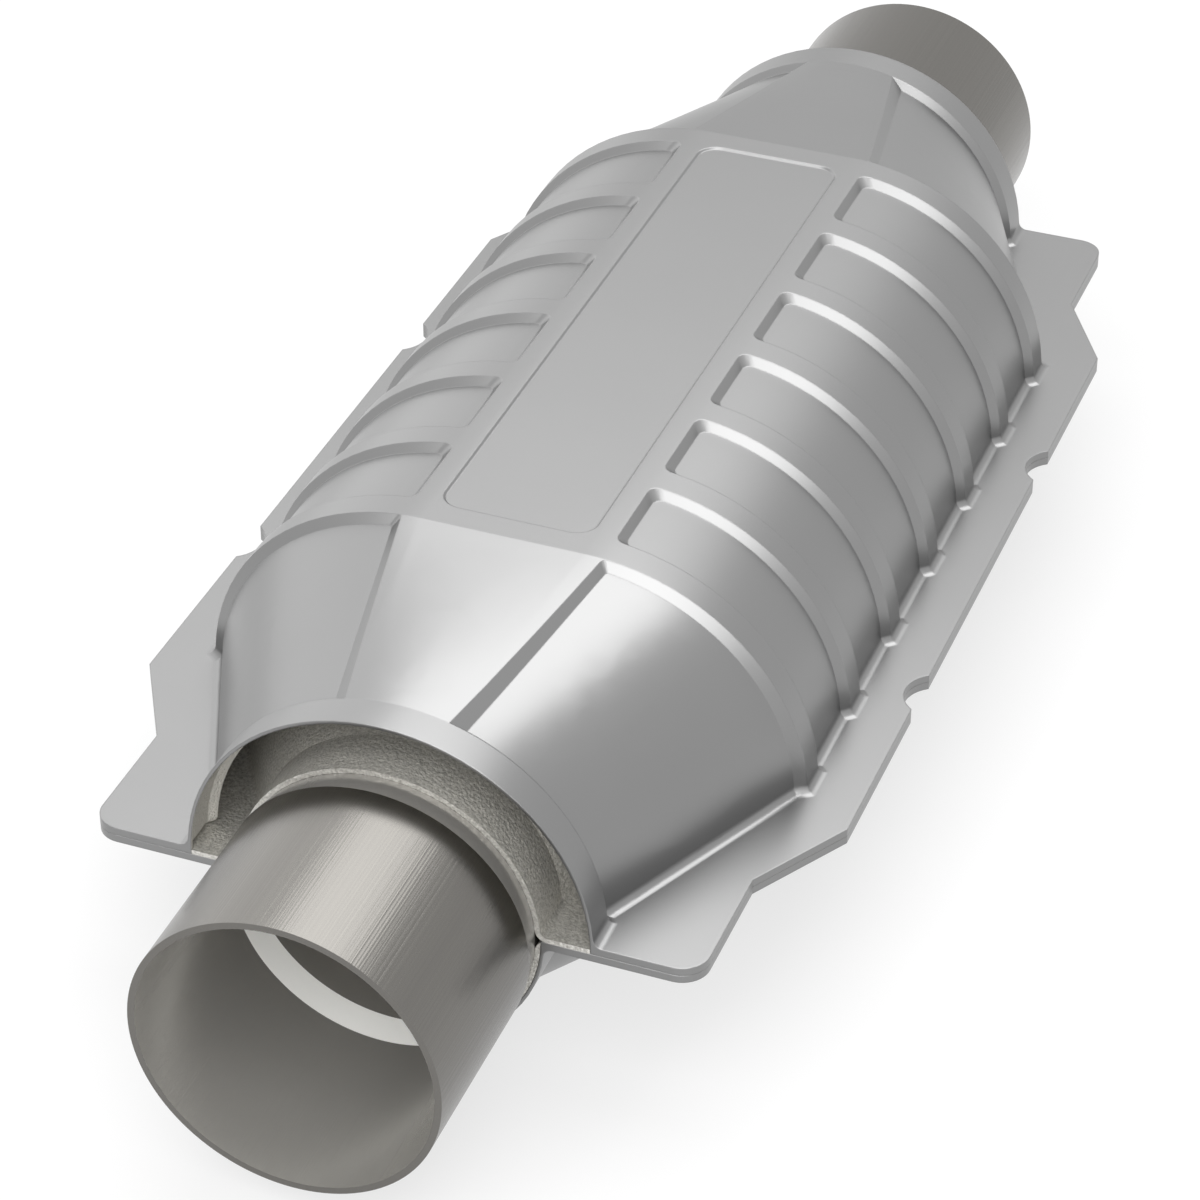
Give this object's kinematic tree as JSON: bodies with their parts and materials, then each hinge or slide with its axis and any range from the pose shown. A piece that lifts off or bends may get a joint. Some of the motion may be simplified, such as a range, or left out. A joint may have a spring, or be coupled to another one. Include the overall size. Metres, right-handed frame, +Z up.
{
  "type": "catalytic converter",
  "caption": "Oval catalytic converter with stamped heat shields, a long flange and a pipe socket at each end.",
  "frame": {"origin": "bottom centre of the overall box, under the middle of the part, on the face it rests on", "axes": "+Y along the pipe axis from inlet to outlet, +Z up through the top panel, +X to the right"},
  "size_m": [0.1606, 0.4064, 0.0898],
  "materials": {
    "shield_steel": "satin",
    "can_steel": "satin",
    "wire_mesh": "satin",
    "honeycomb": "matte",
    "mat_fibre": "matte"
  },
  "bodies": {
    "root": {"upper_heat_shield": "shield_steel", "lower_heat_shield": "shield_steel", "upper_can_shell": "can_steel", "lower_can_shell": "can_steel", "inlet_pipe": "can_steel", "outlet_pipe": "can_steel", "front_catalyst_brick": "honeycomb", "front_support_mat": "mat_fibre", "front_brick_inlet_seal": "wire_mesh", "front_brick_outlet_seal": "wire_mesh", "rear_catalyst_brick": "honeycomb", "rear_support_mat": "mat_fibre", "rear_brick_inlet_seal": "wire_mesh", "rear_brick_outlet_seal": "wire_mesh"}
  },
  "joints": []
}
